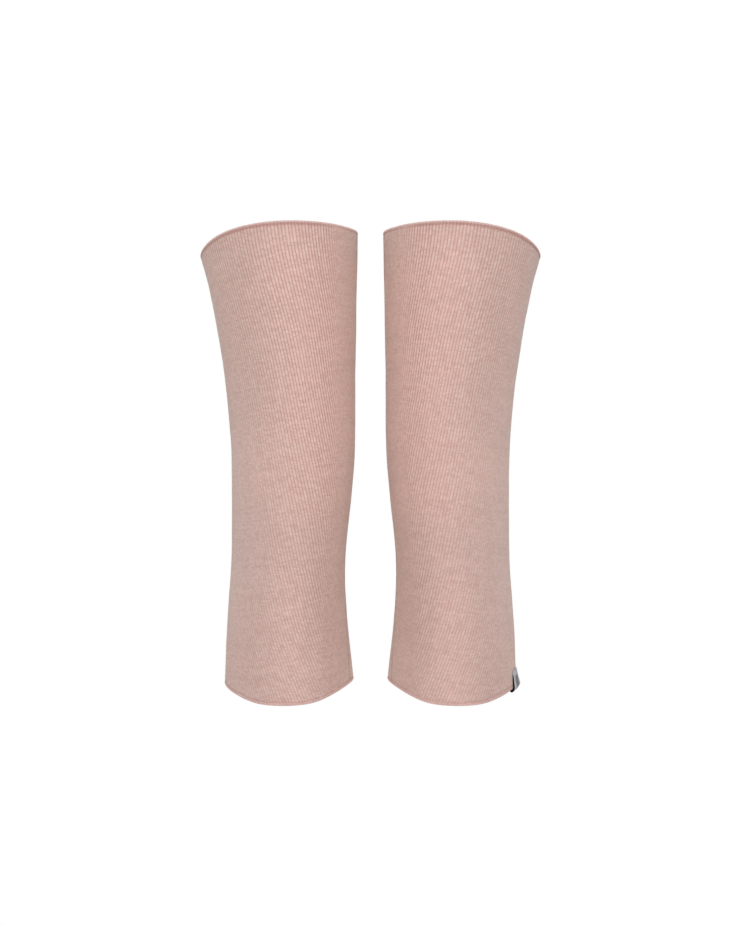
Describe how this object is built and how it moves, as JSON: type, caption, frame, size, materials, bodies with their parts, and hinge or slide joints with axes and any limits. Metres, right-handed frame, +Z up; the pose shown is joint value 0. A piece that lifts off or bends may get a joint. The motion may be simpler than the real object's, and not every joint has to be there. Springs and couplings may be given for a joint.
{
  "type": "pair of knee warmers",
  "caption": "Open rib-knit tubes that keep the knees warm from mid thigh to calf, in their worn shape, with narrow rolled hems.",
  "frame": {"origin": "midway between the wearer's knees, at the height of the kneecaps, level with the line through the two legs", "axes": "+Z up along the legs, -Y the way the wearer faces, +X towards the wearer's left leg"},
  "size_m": [0.275, 0.1471, 0.3785],
  "materials": {
    "rib_knit": "soft matt dusty-pink fine rib knit, lightly heathered",
    "rolled_hem": "matt pink knit, rolled narrow and stitched",
    "woven_tab": "light grey woven ribbon with a plain darker field and a black reverse"
  },
  "bodies": {
    "root": {"right_knit_tube": "rib_knit", "left_knit_tube": "rib_knit", "right_upper_hem": "rolled_hem", "right_lower_hem": "rolled_hem", "left_upper_hem": "rolled_hem", "left_lower_hem": "rolled_hem", "left_hem_label": "woven_tab"}
  },
  "joints": []
}
